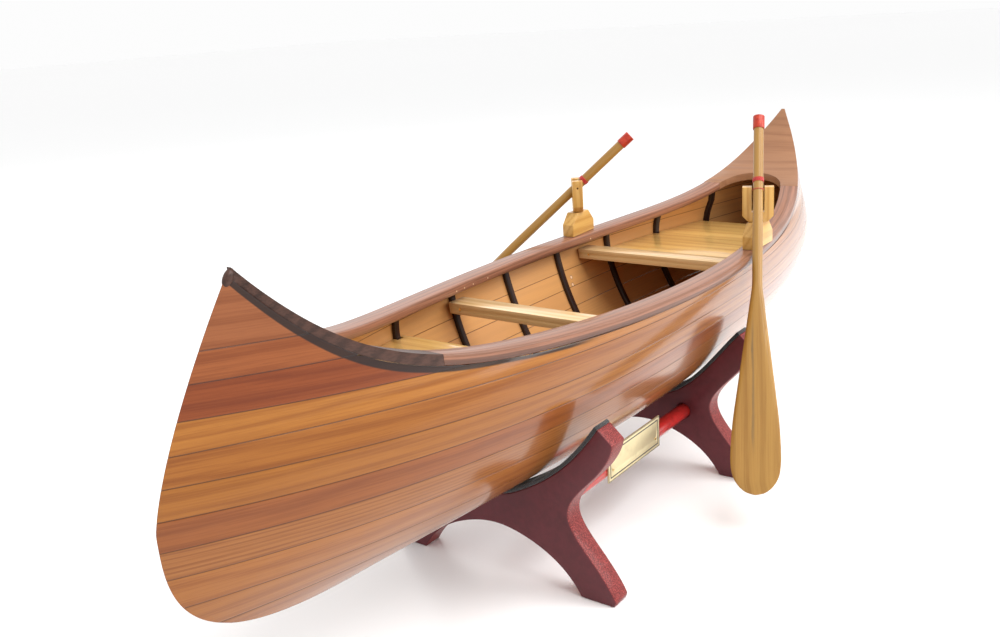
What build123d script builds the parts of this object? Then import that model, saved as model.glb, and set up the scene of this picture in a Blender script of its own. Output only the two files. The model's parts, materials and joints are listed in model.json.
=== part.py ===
from build123d import *
from math import atan2, cos, degrees, hypot, pi, radians, sin, sqrt
import os

# A strip-planked display canoe on a two-cradle stand, with a pair of oars.
# Millimetres. X runs from bow (-) to stern (+), Y to starboard, Z up.
# The origin is on the table, under the middle of the canoe.

# ---- hull form ------------------------------------------------------------
rail_height = 134.7          # top of the rail amidships, above the table
tip_half_length = 258.5      # middle of the canoe to either tip
tip_rise = 59.2              # how far the tips stand above the rail amidships
stem_half_length = 304.9     # middle of the canoe to the fullest point of a stem
stem_full_level = -26.3      # height of that point, from the rail amidships
stem_top_power = 1.34
hull_depth = 88.3            # rail amidships down to the keel
keel_power = 7.0             # how late the keel turns up into the stem
stem_foot_power = 2.94
half_beam = 67.0
section_power = 1.254        # roundness of the midship section
section_root = 2.19
sheer_share = 0.24           # part of the tip's rise that comes in gently
sheer_gentle = 2.2
sheer_steep = 8.0

# ---- planking -------------------------------------------------------------
plank_thickness = 2.4
glue_line = 0.1              # gap left for glue between planks
# Seam heights from the rail amidships: amidships and at the stem, top seam first.
seams = [(62.0, 64.0), (25.4, 33.0), (13.8, 22.6), (-0.8, 11.0), (-8.6, 0.0),
         (-20.8, -10.4), (-31.6, -21.2), (-42.8, -32.6), (-55.6, -43.6),
         (-68.4, -57.0), (-79.6, -70.4)]
stem_gap_at_keel = 3.0       # height left between the lowest seam and the keel plank's end
stations = 9                 # curve points from the middle to one end

# ---- rails, decks, ribs ---------------------------------------------------
rail_width = 12.5
rail_thickness = 5.0
rail_overhang = 0.8
deck_joint_bow = 190.0       # middle of the canoe to the rails' forward butt joint
deck_joint_stern = 198.0
deck_arch_depth = 15.0       # how far a deck's inner edge curves back from its joints
deck_tip_half_width = 1.2
rib_first = -174.0
rib_pitch = 53.7
rib_count = 8
rib_width = 4.0
rib_thickness = 2.4
fit_gap = 0.15               # between glued or seated wooden pieces

# ---- thwarts and platforms ------------------------------------------------
thwart_front_faces = {"front_thwart": -73.0, "rear_thwart": 63.0}
thwart_width = 13.0
thwart_thickness = 6.0
thwart_drop = 9.3            # rail top to thwart top, amidships
platform_drop = 15.0
platform_thickness = 3.0
bow_platform_span = (-196.0, -115.0)
stern_platform_end = 196.0
pin_head_radius = 0.7
pin_length = 4.0

# ---- oarlocks and oars ----------------------------------------------------
lock_stations = {"starboard": 66.0, "port": 72.0}
block_length = 25.0
block_width = 8.0
block_height = 15.0
block_chamfer_length = 6.0
block_chamfer_height = 7.0
fork_width = 17.6
fork_thickness = 6.5
fork_height = 20.0
fork_corner = 3.5
slot_clearance = 0.7         # each side of the loom
slot_depth = 14.5
tie_hole_rise = 15.5         # foot of a fork to the holes for its thread
tie_hole_radius = 0.6
running_gap = 0.3            # between pieces that move past each other
swivel_pin_radius = 1.5
swivel_pin_length = 9.0
swivel_clearance = 0.05
handle_length = 46.0         # pivot to the end of the grip
blade_reach = 173.0          # pivot to the tip of the blade
loom_radius = 2.85
blade_half_width = 13.1
blade_thickness = 3.2
blade_start = 64.0
grip_length = 8.0
grip_radius = 3.3
lashing_at = 6.0             # pivot to the middle of the thread wrap
lashing_length = 2.6
thread_radius = 0.2
# How each oar rests: swing of its blade out from straight aft-to-bow and dip below
# level, in degrees; its pivot ahead of the fork's middle, and above the fork's foot.
oars = {"starboard": {"swing": 55.0, "dip": 41.0, "ahead": 0.0, "rise": 15.5},
        "port": {"swing": 22.7, "dip": 57.0, "ahead": 4.0, "rise": 18.7}}

# ---- stand ----------------------------------------------------------------
cradle_front_faces = {"front_cradle": -116.4, "rear_cradle": 39.9}
cradle_thickness = 11.8
arm_tip_inside = 4.9         # rail's half-breadth amidships to the inner corner of an arm's tip
arm_tip_height = 90.4
arm_corner_outside = 2.7
arm_corner_height = 83.6
seat_half = 18.0             # where the felt comes closest to the bilges
arm_inner_inside = 26.3      # a point on the inner curve of an arm
arm_inner_height = 65.7
waist_half = 43.5
waist_height = 42.5
foot_outer_half = 69.0
foot_inner_half = 49.5
arch_height = 27.2
felt_thickness = 2.0
rest_gap = 0.3               # felt to hull
rod_half_spacing = 26.0
rod_height = 37.1
rod_radius = 4.5
rod_socket_depth = 7.0       # blind sockets in the cradles' inner faces
rod_fit = 0.03
plate_length = 57.0
plate_height = 18.5
plate_thickness = 0.8
plate_centre = (-28.5, 40.4)

lock_top = rail_height + block_height
rib_stations = [rib_first + k * rib_pitch for k in range(rib_count)]


def stem_reach(level):
    """Distance from the middle of the canoe to the stem's edge at a level."""
    if level >= stem_full_level:
        fall = stem_half_length - tip_half_length
        share = (level - stem_full_level) / (tip_rise - stem_full_level)
        return stem_half_length - fall * share ** stem_top_power
    sunk = (stem_full_level - level) / (hull_depth + stem_full_level)
    return stem_half_length * (1 - min(sunk, 1) ** stem_foot_power) ** (1 / keel_power)


def keel_level(x):
    """Level of the keel line under a station."""
    share = (1 - (abs(x) / stem_half_length) ** keel_power) ** (1 / stem_foot_power)
    return stem_full_level - (hull_depth + stem_full_level) * share


def sheer(x):
    """Level of the rail's top at a station."""
    share = abs(x) / tip_half_length
    return tip_rise * (sheer_share * share ** sheer_gentle
                       + (1 - sheer_share) * share ** sheer_steep)


def section_half(level):
    """Half-breadth amidships at a level."""
    sunk = min(max(-level / hull_depth, 0), 1)
    return half_beam * (1 - sunk ** section_power) ** (1 / section_root)


def fineness(level):
    """Power of the waterline curve at a level."""
    sunk = min(max(-level / hull_depth, 0), 1)
    return 1.9 - 0.47 * sunk + 3.65 * sunk * (1 - sunk)


def hull_half(x, level):
    """Half-breadth of the hull's outside at a station and level."""
    share = min(abs(x) / stem_reach(level), 1)
    return section_half(level) * (1 - share ** fineness(level))


def outward(x, level):
    """Unit normal of the starboard side's outside."""
    step = 0.02
    along = (hull_half(x + step, level) - hull_half(x - step, level)) / (2 * step)
    up = (hull_half(x, level + step) - hull_half(x, level - step)) / (2 * step)
    size = sqrt(along ** 2 + 1 + up ** 2)
    return (-along / size, 1 / size, -up / size)


def seam_point(row, s, inset=0.0, shift=0.0):
    """Point of a seam, s running from -1 at the bow to 1 at the stern.

    The row after the last seam is the keel line.
    """
    if row < len(seams):
        middle, end = seams[row]
        level = middle + (end - middle) * s * s + shift
        reach = 0.9995 * stem_reach(level)
        x = s * reach
        n = outward(x, level)
        y = hull_half(x, level)
    else:
        reach = stem_reach(seams[-1][1] - stem_gap_at_keel)
        x = s * reach
        level = keel_level(x)
        slope = (keel_level(x + 0.02) - keel_level(x - 0.02)) / 0.04
        size = hypot(slope, 1)
        n = (slope / size, 0, -1 / size)
        y = 0
    return (x - inset * n[0], y - inset * n[1], rail_height + level - inset * n[2])


def seam_curve(row, inset, shift):
    """Spline along a seam from bow to stern."""
    span = [sin(pi / 2 * k / (stations - 1)) for k in range(1 - stations, stations)]
    return Edge.make_spline([Vector(*seam_point(row, s, inset, shift)) for s in span])


def plank_body(row):
    """Starboard plank between two seams, from stem to stem, before trimming."""
    up_out, up_in = [seam_curve(row, t, -glue_line / 2) for t in (0, plank_thickness)]
    low_shift = glue_line / 2 if row + 1 < len(seams) else 0
    low_out, low_in = [seam_curve(row + 1, t, low_shift) for t in (0, plank_thickness)]
    faces = [Face.make_surface_from_curves(a, b) for a, b in
             ((up_out, low_out), (up_in, low_in), (up_out, up_in), (low_out, low_in))]
    for end in (0, 1):
        outer = Edge.make_line(up_out @ end, low_out @ end)
        inner = Edge.make_line(up_in @ end, low_in @ end)
        faces.append(Face.make_surface_from_curves(outer, inner))
    return Solid(Shell(faces))


def sheer_points(drop, start, end, count=15):
    """Points along the sheer, lowered by drop, between two stations."""
    step = (end - start) / (count - 1)
    return [(start + k * step, rail_height + sheer(start + k * step) - drop)
            for k in range(count)]


def inner_half(x, level, inset):
    """Half-breadth inside the planking, inset measured square to the skin."""
    return hull_half(x, level) - inset / outward(x, level)[1]


def underside(x, half):
    """Level of the hull's outside at a distance from the middle plane, by bisection."""
    low, high = -hull_depth, 0.0
    for _ in range(40):
        middle = (low + high) / 2
        if hull_half(x, middle) > half:
            high = middle
        else:
            low = middle
    return low


def seam_at(row, x, inset):
    """(y, z) of a seam, inset into the hull, where it crosses a station."""
    low, high = -1.0, 1.0
    for _ in range(50):
        middle = (low + high) / 2
        if seam_point(row, middle, inset)[0] > x:
            high = middle
        else:
            low = middle
    return seam_point(row, low, inset)[1:]


def rail_edge(x):
    """Half-breadth of the rail's outer edge."""
    return max(hull_half(x, sheer(x)) + rail_overhang, deck_tip_half_width)


def even(start, end, count):
    """Evenly spaced values from start to end."""
    return [start + (end - start) * k / (count - 1) for k in range(count)]


def save(builder, label):
    """Label a finished piece and write its file."""
    builder.part.label = label
    export_step(builder.part, f"parts/{label}.step")


def above_sheer(drop):
    """Everything that lies above the lowered sheer, to be cut away."""
    with BuildPart() as region:
        with BuildSketch(Plane.XZ):
            with BuildLine():
                top = Spline(*sheer_points(drop, -sheer_half_span, sheer_half_span, 25))
                Polyline(top @ 1, (far_out, (top @ 1).Y), (far_out, above_rail),
                         (-far_out, above_rail), (-far_out, (top @ 0).Y), top @ 0)
            make_face()
        extrude(amount=half_beam + 20, both=True)
    return region.part


def sheet_along_sheer(start, end):
    """A sheet of rail thickness that follows the sheer, wider than the hull."""
    with BuildPart() as sheet:
        with BuildSketch(Plane.XZ):
            with BuildLine():
                top = Spline(*sheer_points(0, start, end))
                under = Spline(*sheer_points(rail_thickness, start, end))
                Line(top @ 0, under @ 0)
                Line(top @ 1, under @ 1)
            make_face()
        extrude(amount=half_beam + 20, both=True)
    return sheet.part


os.makedirs("parts", exist_ok=True)
above_rail = rail_height + tip_rise + 60
far_out = 400.0
sheer_half_span = tip_half_length + 8
SIDES = ((1, "starboard"), (-1, "port"))

# ---- planks: rows from the sheer down, one node for each side --------------
over_planks = above_sheer(rail_thickness + glue_line)
for row in range(len(seams)):
    for side, name in SIDES:
        with BuildPart() as plank:
            add(plank_body(row))
            add(over_planks, mode=Mode.SUBTRACT)
            with Locations((0, -half_beam + glue_line / 2, rail_height)):
                Box(2 * far_out, 2 * half_beam, 2 * far_out, mode=Mode.SUBTRACT)
            if side < 0:
                mirror(about=Plane.XZ, mode=Mode.REPLACE)
        save(plank, f"{name}_plank_{row + 1:02d}")

# ---- ribs: bent strips lying against the planks ----------------------------
over_ribs = above_sheer(rail_thickness + fit_gap)
for number, station in enumerate(rib_stations, 1):
    near_seam = max(r for r in range(len(seams))
                    if seams[r][0] + 12 * (station / stem_half_length) ** 2
                    > sheer(station) - rail_thickness)
    rows = range(near_seam, len(seams) + 1)
    with BuildPart() as rib:
        for x in (station - rib_width / 2, station + rib_width / 2):
            back = [seam_at(r, x, plank_thickness + fit_gap) for r in rows]
            face = [seam_at(r, x, plank_thickness + fit_gap + rib_thickness) for r in rows]
            half = back + [(-y, z) for y, z in reversed(back[:-1])]
            inner = face + [(-y, z) for y, z in reversed(face[:-1])]
            with BuildSketch(Plane(origin=(x, 0, 0), x_dir=(0, 1, 0), z_dir=(1, 0, 0))):
                with BuildLine():
                    Polyline(*half, *reversed(inner), close=True)
                make_face()
        loft(ruled=True)
        add(over_ribs, mode=Mode.SUBTRACT)
    save(rib, f"rib_{number}")

# ---- rails and decks -------------------------------------------------------
for side, name in SIDES:
    stretch = even(-deck_joint_bow + fit_gap, deck_joint_stern - fit_gap, 15)
    with BuildPart() as rail:
        add(sheet_along_sheer(stretch[0], stretch[-1]))
        with BuildSketch():
            with BuildLine():
                outer = Spline(*[(x, side * rail_edge(x)) for x in stretch])
                inner = Spline(*[(x, side * (rail_edge(x) - rail_width)) for x in stretch])
                Line(outer @ 0, inner @ 0)
                Line(outer @ 1, inner @ 1)
            make_face()
        extrude(amount=above_rail, mode=Mode.INTERSECT)
    save(rail, f"{name}_rail")

for end, name, joint in ((-1, "bow_deck", deck_joint_bow), (1, "stern_deck", deck_joint_stern)):
    stretch = even(joint, tip_half_length, 13)
    with BuildPart() as deck:
        add(sheet_along_sheer(*sorted((end * joint, end * tip_half_length))))
        with BuildSketch():
            with BuildLine():
                star = Spline(*[(end * x, rail_edge(x)) for x in stretch])
                port = Spline(*[(end * x, -rail_edge(x)) for x in stretch])
                corner = rail_edge(joint) - rail_width
                arch = Spline((end * joint, corner),
                              (end * (joint + 0.75 * deck_arch_depth), 0.62 * corner),
                              (end * (joint + deck_arch_depth), 0),
                              (end * (joint + 0.75 * deck_arch_depth), -0.62 * corner),
                              (end * joint, -corner))
                Line(star @ 1, port @ 1)
                Line(star @ 0, arch @ 0)
                Line(port @ 0, arch @ 1)
            make_face()
        extrude(amount=above_rail, mode=Mode.INTERSECT)
    save(deck, name)

# ---- thwarts, their pins and the platforms ---------------------------------
pin_places = []
for name, front in thwart_front_faces.items():
    back = front + thwart_width
    at_rib = any(front < x < back for x in rib_stations)
    inset = plank_thickness + fit_gap + (rib_thickness + fit_gap if at_rib else 0)
    widest = max(abs(front), abs(back))
    top, bottom = -thwart_drop, -thwart_drop - thwart_thickness
    top_half, bottom_half = [inner_half(widest, z, inset) - fit_gap for z in (top, bottom)]
    pins = [(front, side * (bottom_half - 7), rail_height + (top + bottom) / 2)
            for side in (1, -1)]
    pin_places += pins
    with BuildPart() as thwart:
        with BuildSketch(Plane(origin=(front, 0, rail_height), x_dir=(0, 1, 0),
                               z_dir=(1, 0, 0))):
            Polygon((-top_half, top), (top_half, top), (bottom_half, bottom),
                    (-bottom_half, bottom), align=None)
        extrude(amount=thwart_width)
        with Locations(*pins):
            Cylinder(pin_head_radius, 2 * pin_length, rotation=(0, 90, 0),
                     mode=Mode.SUBTRACT)
    save(thwart, name)

with BuildPart() as thwart_pins:
    with Locations(*[(x + pin_length / 2 - 0.3, y, z) for x, y, z in pin_places]):
        Cylinder(pin_head_radius, pin_length, rotation=(0, 90, 0))
save(thwart_pins, "thwart_pins")

stern_platform_start = thwart_front_faces["rear_thwart"] + thwart_width + fit_gap
platform_under = -platform_drop - platform_thickness
for name, (start, end) in (("bow_platform", bow_platform_span),
                           ("stern_platform", (stern_platform_start, stern_platform_end))):
    stretch = even(start, end, 9)
    with BuildPart() as platform:
        with BuildSketch(Plane.XY.offset(rail_height + platform_under)):
            with BuildLine():
                edge = [inner_half(x, platform_under, plank_thickness + 3 * fit_gap)
                        for x in stretch]
                star = Spline(*zip(stretch, edge))
                port = Spline(*[(x, -y) for x, y in zip(stretch, edge)])
                Line(star @ 0, port @ 0)
                Line(star @ 1, port @ 1)
            make_face()
            for x in rib_stations:
                if start - rib_width < x < end + rib_width:
                    room = inner_half(abs(x) + rib_width, platform_under,
                                      plank_thickness + rib_thickness + 3 * fit_gap)
                    with Locations((x, room + half_beam / 2), (x, -room - half_beam / 2)):
                        Rectangle(rib_width + 4 * fit_gap, half_beam, mode=Mode.SUBTRACT)
        extrude(amount=platform_thickness)
    save(platform, name)

# ---- oarlocks and oars ------------------------------------------------------
for side, name in SIDES:
    oar, lock_station = oars[name], lock_stations[name]
    centre_y = side * (rail_edge(lock_station) - block_width / 2)
    with BuildPart() as block:
        with BuildSketch(Plane.XZ.offset(-centre_y)):
            long, low = block_length / 2, rail_height - 2
            flat = long - block_chamfer_length
            shoulder = lock_top - block_chamfer_height
            with Locations((lock_station, 0)):
                Polygon((-long, low), (long, low), (long, shoulder), (flat, lock_top),
                        (-flat, lock_top), (-long, shoulder), align=None)
        extrude(amount=block_width / 2, both=True)
        with BuildSketch(Plane.XZ):
            with BuildLine():
                top = Spline(*sheer_points(-glue_line, lock_station - block_length,
                                           lock_station + block_length, 5))
                Polyline(top @ 1, ((top @ 1).X, 0), ((top @ 0).X, 0), top @ 0)
            make_face()
        extrude(amount=half_beam + 20, both=True, mode=Mode.SUBTRACT)
        with Locations((lock_station, centre_y, lock_top)):
            Cylinder(swivel_pin_radius + swivel_clearance, 2 * (swivel_pin_length + running_gap),
                     mode=Mode.SUBTRACT)
    save(block, f"{name}_oarlock_block")

    swing, dip = radians(oar["swing"]), radians(oar["dip"])
    ahead = Vector(-cos(swing), side * sin(swing), 0)       # level, towards the blade
    across = Vector(0, 0, 1).cross(ahead)
    fork_base = Vector(lock_station, centre_y, lock_top + running_gap)
    with BuildPart() as fork:
        with BuildSketch(Plane(origin=fork_base, x_dir=across, z_dir=ahead)):
            with BuildLine():
                w, h, c = fork_width / 2, fork_height, fork_corner
                s, d = loom_radius + slot_clearance, fork_height - slot_depth
                Polyline((c - w, 0), (w - c, 0), (w, c), (w, h), (s, h), (s, d),
                         (-s, d), (-s, h), (-w, h), (-w, c), close=True)
            make_face()
        extrude(amount=fork_thickness / 2, both=True)
        with Locations(fork_base - Vector(0, 0, swivel_pin_length / 2 - 0.5)):
            Cylinder(swivel_pin_radius, swivel_pin_length + 1)
        with BuildSketch(Plane(origin=fork_base + Vector(0, 0, tie_hole_rise), z_dir=across)):
            Circle(tie_hole_radius)
        extrude(amount=fork_width, both=True, mode=Mode.SUBTRACT)
    save(fork, f"{name}_oarlock_fork")

    pivot = fork_base + ahead * oar["ahead"] + Vector(0, 0, oar["rise"])
    along = ahead * cos(dip) - Vector(0, 0, sin(dip))       # down the loom
    with BuildPart() as oar_body:
        loom_end = handle_length - grip_radius + loom_radius
        with BuildSketch(Plane(origin=pivot - along * loom_end, z_dir=along)):
            Circle(loom_radius)
        extrude(amount=loom_end + blade_start)
        with BuildSketch(Plane(origin=pivot + along * blade_start, z_dir=along)):
            Circle(loom_radius)
        with BuildSketch(Plane(origin=pivot + along * (blade_start + 75), z_dir=along)):
            Circle(0.45 * loom_radius)
        loft()
        with BuildSketch(Plane(origin=pivot, x_dir=along, z_dir=along.cross(across))):
            with BuildLine():
                ends = [(blade_start - 4, loom_radius - 0.2), (81, 5.7), (118, 10.3),
                        (150, blade_half_width), (162, 12.3), (169.5, 8.2), (blade_reach, 0)]
                Spline(*ends, *[(x, -y) for x, y in reversed(ends[:-1])])
                Line((blade_start - 4, 0.2 - loom_radius), (blade_start - 4, loom_radius - 0.2))
            make_face()
        extrude(amount=blade_thickness / 2, both=True)
    save(oar_body, f"{name}_oar")

    with BuildPart() as grip:
        with BuildSketch(Plane(origin=pivot - along * handle_length, z_dir=along)):
            Circle(grip_radius)
        extrude(amount=grip_length)
        with BuildSketch(Plane(origin=pivot - along * loom_end, z_dir=along)):
            Circle(loom_radius)
        extrude(amount=2 * grip_length, mode=Mode.SUBTRACT)
    save(grip, f"{name}_oar_grip")

    with BuildPart() as lashing:
        for place, length in ((-lashing_at, lashing_length), (0, 2 * thread_radius)):
            ring = pivot + along * (place - length / 2)
            with BuildSketch(Plane(origin=ring, z_dir=along)):
                Circle(loom_radius + 2 * thread_radius)
                Circle(loom_radius, mode=Mode.SUBTRACT)
            extrude(amount=length)
    save(lashing, f"{name}_oar_lashing")

# ---- stand -------------------------------------------------------------------
rods_y = (rod_half_spacing, -rod_half_spacing)
arm_tip_half = half_beam - arm_tip_inside
arm_corner_half = half_beam + arm_corner_outside
arm_inner_half = half_beam - arm_inner_inside
rod_start = cradle_front_faces["front_cradle"] + cradle_thickness - rod_socket_depth
rod_end = cradle_front_faces["rear_cradle"] + rod_socket_depth
for name, front in cradle_front_faces.items():
    near = min(abs(front), abs(front + cradle_thickness))
    lean = atan2(underside(near, seat_half + 1) - underside(near, seat_half - 1), 2)
    drop = rest_gap + felt_thickness
    middle = rail_height - hull_depth - drop
    seat = rail_height + underside(near, seat_half) - drop / cos(lean) - rest_gap
    right = [(seat_half, seat), (arm_inner_half, arm_inner_height), (arm_tip_half, arm_tip_height)]
    curve = [(-y, z) for y, z in reversed(right)] + [(0, middle)] + right
    side_on = Plane(origin=(front, 0, 0), x_dir=(0, 1, 0), z_dir=(1, 0, 0))
    with BuildPart() as cradle:
        with BuildSketch(side_on):
            with BuildLine():
                Spline(*curve)
                for m in (1, -1):
                    Line((m * arm_tip_half, arm_tip_height), (m * arm_corner_half, arm_corner_height))
                    Spline((m * arm_corner_half, arm_corner_height), (m * 60.0, 66.0),
                           (m * waist_half, waist_height), (m * 55.4, 22.0),
                           (m * foot_outer_half, 2.5))
                    Line((m * foot_outer_half, 2.5), (m * (foot_outer_half - 1), 0))
                    Line((m * (foot_outer_half - 1), 0), (m * foot_inner_half, 0))
                Spline((foot_inner_half, 0), (37.9, 13.7), (20.0, 23.3), (0, arch_height),
                       (-20.0, 23.3), (-37.9, 13.7), (-foot_inner_half, 0))
            make_face()
        extrude(amount=cradle_thickness)
        with Locations(*[((rod_start + rod_end) / 2, y, rod_height) for y in rods_y]):
            Cylinder(rod_radius + rod_fit, rod_end - rod_start + 2 * rod_fit,
                     rotation=(0, 90, 0), mode=Mode.SUBTRACT)
    save(cradle, name)

    with BuildPart() as felt:
        with BuildSketch(side_on):
            with BuildLine():
                line = Spline(*curve)
                upper = Spline(*[line @ t + felt_thickness * (line % t).rotate(Axis.Z, 90)
                                 for t in even(0, 1, 17)])
                Line(line @ 0, upper @ 0)
                Line(line @ 1, upper @ 1)
            make_face()
        extrude(amount=cradle_thickness)
    save(felt, f"{name}_felt")

plate_face = -rod_half_spacing - rod_radius
plate_pins_at = [(plate_centre[0] + m * (plate_length / 2 - 5), rod_height) for m in (1, -1)]
for side, name in SIDES:
    with BuildPart() as rod:
        with Locations(((rod_start + rod_end) / 2, side * rod_half_spacing, rod_height)):
            Cylinder(rod_radius, rod_end - rod_start, rotation=(0, 90, 0))
        if side < 0:
            with Locations(*[(x, plate_face, z) for x, z in plate_pins_at]):
                Cylinder(pin_head_radius, 2 * pin_length, rotation=(90, 0, 0),
                         mode=Mode.SUBTRACT)
    save(rod, f"{name}_stretcher_rod")

with BuildPart() as nameplate:
    with Locations((plate_centre[0], plate_face - plate_thickness / 2, plate_centre[1])):
        Box(plate_length, plate_thickness, plate_height)
    with Locations(*[(x, plate_face, z) for x, z in plate_pins_at]):
        Cylinder(pin_head_radius, 4 * plate_thickness, rotation=(90, 0, 0), mode=Mode.SUBTRACT)
save(nameplate, "nameplate")

with BuildPart() as nameplate_pins:
    for x, z in plate_pins_at:
        with Locations((x, plate_face - plate_thickness - 0.3 + pin_length / 2, z)):
            Cylinder(pin_head_radius, pin_length, rotation=(90, 0, 0))
save(nameplate_pins, "nameplate_pins")
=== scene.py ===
"""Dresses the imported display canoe: smooth planking, bent ribs, turned oars, stained stand."""

import json
from math import atan2, cos, hypot, pi, radians, sin, tau

import bmesh
import bpy
from bpy.props import FloatProperty, FloatVectorProperty, IntProperty, PointerProperty
from mathutils import Matrix, Vector


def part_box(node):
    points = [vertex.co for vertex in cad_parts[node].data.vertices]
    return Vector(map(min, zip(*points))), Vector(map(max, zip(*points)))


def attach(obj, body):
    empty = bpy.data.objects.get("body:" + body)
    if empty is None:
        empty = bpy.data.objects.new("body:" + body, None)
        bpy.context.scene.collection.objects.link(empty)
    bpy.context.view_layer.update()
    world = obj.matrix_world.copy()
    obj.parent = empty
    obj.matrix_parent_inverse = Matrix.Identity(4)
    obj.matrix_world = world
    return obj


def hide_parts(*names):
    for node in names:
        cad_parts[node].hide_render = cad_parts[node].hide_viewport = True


bl_info = {
    "name": "Display Canoe",
    "version": (1, 0, 0),
    "blender": (4, 5, 0),
    "location": "3D View > Sidebar > Canoe",
    "description": "Builds a strip-planked display canoe on its cradle stand",
    "category": "Add Mesh",
}

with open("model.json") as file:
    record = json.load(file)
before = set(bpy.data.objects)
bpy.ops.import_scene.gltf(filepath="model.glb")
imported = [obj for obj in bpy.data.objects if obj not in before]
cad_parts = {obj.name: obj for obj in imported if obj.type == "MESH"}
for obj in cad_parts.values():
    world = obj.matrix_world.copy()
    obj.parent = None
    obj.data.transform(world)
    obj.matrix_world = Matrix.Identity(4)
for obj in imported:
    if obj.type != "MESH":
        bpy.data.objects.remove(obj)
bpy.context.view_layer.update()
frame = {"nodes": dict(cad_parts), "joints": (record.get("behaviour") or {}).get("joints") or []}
MM = 0.001
JOINTS = {joint["name"]: joint for joint in frame["joints"]}
SIDES = (("starboard", 1), ("port", -1))
INNER_SHIFT = 0.9  # added to a plank's grain u on its inner face, so that shaders can tell
FIRST_RIB, RIB_SPACING = -174, 53.7


# ---- hull form, in millimetres above the rail amidships --------------------


class Hull:
    """The canoe's lines: waterlines, sections, stems and sheer."""

    rail_height = 134.7
    tip_half_length = 258.5
    tip_rise = 59.2
    stem_half_length = 304.9
    stem_full_level = -26.3
    depth = 88.3
    half_beam = 67.0
    rail_width, rail_thickness, rail_overhang = 12.5, 5, 0.8
    plank_drop = 5.1  # from the sheer to the planks' top edge
    seams = ((62.0, 64.0), (25.4, 33.0), (13.8, 22.6), (-0.8, 11.0), (-8.6, 0.0),
             (-20.8, -10.4), (-31.6, -21.2), (-42.8, -32.6), (-55.6, -43.6),
             (-68.4, -57.0), (-79.6, -70.4))

    def stem_reach(self, level):
        """Distance from the middle to the stem's edge at a level."""
        full = self.stem_full_level
        if level >= full:
            share = (level - full) / (self.tip_rise - full)
            overhang = self.stem_half_length - self.tip_half_length
            return self.stem_half_length - overhang * share**1.34
        sunk = min((full - level) / (self.depth + full), 1)
        return self.stem_half_length * (1 - sunk**2.94) ** (1 / 7)

    def keel_level(self, x):
        """Level of the keel line under a station."""
        share = (1 - min(abs(x) / self.stem_half_length, 1) ** 7) ** (1 / 2.94)
        return self.stem_full_level - (self.depth + self.stem_full_level) * share

    def sheer(self, x):
        """Level of the rail's top at a station."""
        share = abs(x) / self.tip_half_length
        return self.tip_rise * (0.24 * share**2.2 + 0.76 * share**8)

    def half(self, x, level):
        """Half-breadth of the planking's outside."""
        sunk = min(max(-level / self.depth, 0), 1)
        power = 1.9 - 0.47 * sunk + 3.65 * sunk * (1 - sunk)
        share = min(abs(x) / max(self.stem_reach(level), 1), 1)
        return self.half_beam * (1 - sunk**1.254) ** (1 / 2.19) * (1 - share**power)

    def normal(self, x, level):
        """Unit normal of the starboard side's outside."""
        step = 0.02
        along = (self.half(x + step, level) - self.half(x - step, level)) / (2 * step)
        up = (self.half(x, level + step) - self.half(x, level - step)) / (2 * step)
        return Vector((-along, 1, -up)).normalized()

    def seam_level(self, row, s):
        """Level of a seam, s running from -1 at the bow to 1 at the stern."""
        middle, end = self.seams[row]
        return middle + (end - middle) * s * s

    def skin_point(self, row, s, share):
        """(x, level) on a plank: share 0 at its upper seam, 1 at its lower one."""
        top = self.seam_level(row, s)
        if row + 1 < len(self.seams):
            level = top + (self.seam_level(row + 1, s) - top) * share
            return s * 0.9995 * self.stem_reach(level), level
        keel_x = s * self.stem_reach(self.seams[-1][1] - 3)
        share = 1 - (1 - share) ** 2.19
        top_x = s * 0.9995 * self.stem_reach(top)
        x = top_x + (keel_x - top_x) * share
        return x, top + (self.keel_level(keel_x) - top) * share

    def under_rail(self, row, s, drop):
        """Share of the plank's height, from its upper seam, that the sheer cuts away."""
        def above(share):
            x, level = self.skin_point(row, s, share)
            return level > self.sheer(x) - drop
        if not above(0):
            return 0
        if above(1):
            return 1
        low, high = 0.0, 1.0
        for _ in range(30):
            middle = (low + high) / 2
            low, high = (middle, high) if above(middle) else (low, middle)
        return high


hull = Hull()


def even(start, end, count):
    """Evenly spaced values from start to end."""
    return [start + (end - start) * k / (count - 1) for k in range(count)]


def ease(t):
    """Smooth step from 0 to 1."""
    t = min(max(t, 0), 1)
    return t * t * (3 - 2 * t)


def between(x, points):
    """Smooth value at x of a profile given as (x, value) points."""
    if x <= points[0][0]:
        return points[0][1]
    for (xa, a), (xb, b) in zip(points, points[1:]):
        if x <= xb:
            return a + (b - a) * ease((x - xa) / (xb - xa))
    return points[-1][1]


# ---- mesh helpers ----------------------------------------------------------


def finish_mesh(bm, name, body, finish, replaced, sharp=35):
    """Turn a bmesh in metres into a finished piece that rides on a body."""
    mesh = bpy.data.meshes.new(name)
    bm.to_mesh(mesh)
    bm.free()
    mesh.shade_smooth()
    mesh.set_sharp_from_angle(angle=radians(sharp))
    piece = bpy.data.objects.new(name, mesh)
    bpy.context.scene.collection.objects.link(piece)
    mesh.materials.append(finish)
    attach(piece, body)
    if replaced:
        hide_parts(*replaced)
    return piece


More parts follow.
